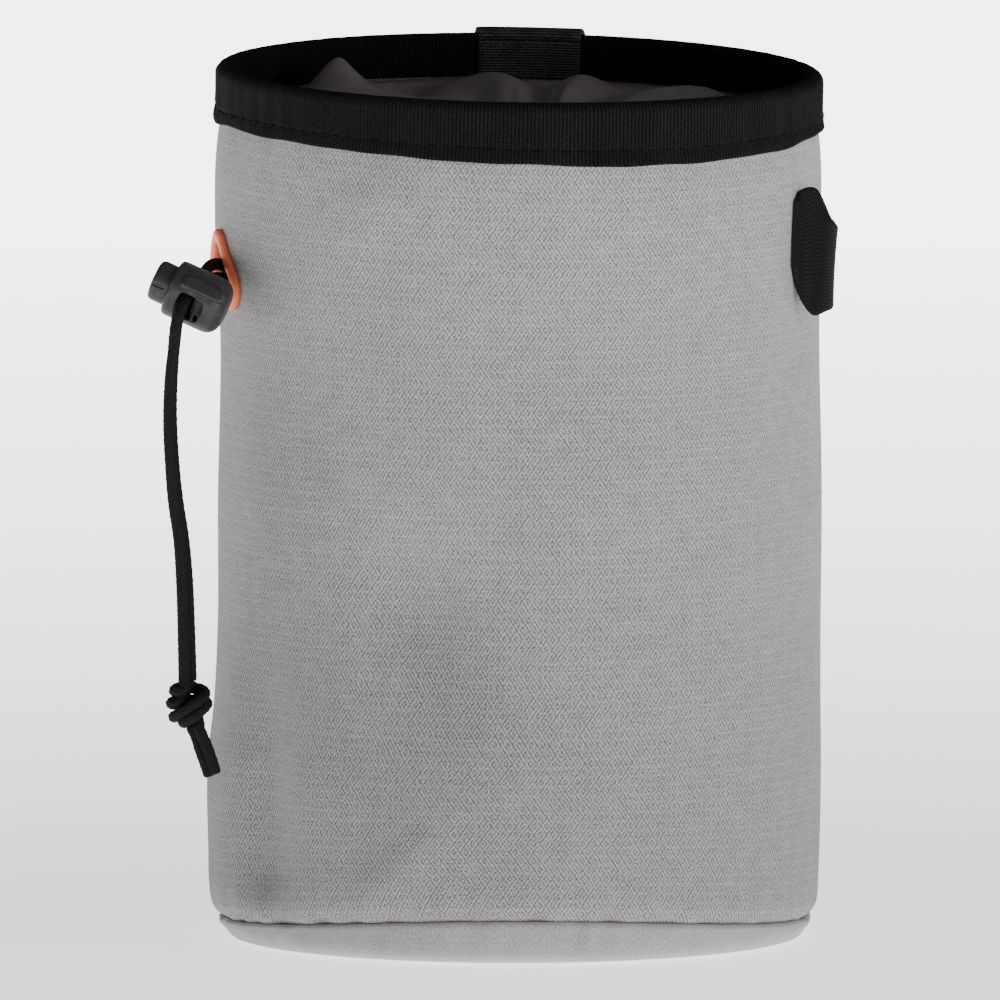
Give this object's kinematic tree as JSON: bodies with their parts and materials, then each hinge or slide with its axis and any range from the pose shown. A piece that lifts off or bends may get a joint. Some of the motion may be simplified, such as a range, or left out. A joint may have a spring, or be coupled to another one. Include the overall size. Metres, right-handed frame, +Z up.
{
  "type": "climbing chalk bag",
  "caption": "Round grey cloth chalk bag with a black taped rim, gathered collar, brush loop, belt loop and a drawcord with a spring lock.",
  "frame": {"origin": "middle of the flat base, on the surface that the bag stands on", "axes": "+Z up, the bag's front faces -Y, the belt loop is at +Y, the cord lock is on the -X side and the brush loop on the +X side"},
  "size_m": [0.1367, 0.1291, 0.1779],
  "materials": {
    "grey_cloth": "matt woven cloth with small raised diamonds",
    "black_tape": "ribbed woven tape",
    "collar_cloth": "crumpled satin nylon",
    "eyelet_rubber": "satin moulded",
    "lock_plastic": "satin moulded",
    "cord": "fine braid"
  },
  "bodies": {
    "bag": {"outer_wall": "grey_cloth", "base_panel": "grey_cloth", "rim_binding": "black_tape", "belt_strip": "black_tape", "lining_collar": "collar_cloth", "brush_loop": "black_tape", "cord_eyelet": "eyelet_rubber", "lock_body": "lock_plastic", "drawcord_front": "cord", "drawcord_back": "cord", "cord_knot": "cord"},
    "button": {"lock_button": "lock_plastic"}
  },
  "joints": [
    {"name": "button_press", "type": "slide", "parent": "bag", "child": "button", "axis": [0.9063, -0.12, -0.4051], "range_m": [0, 0.0024], "stiffness_N_per_m": 400, "springref_m": -0.003}
  ]
}
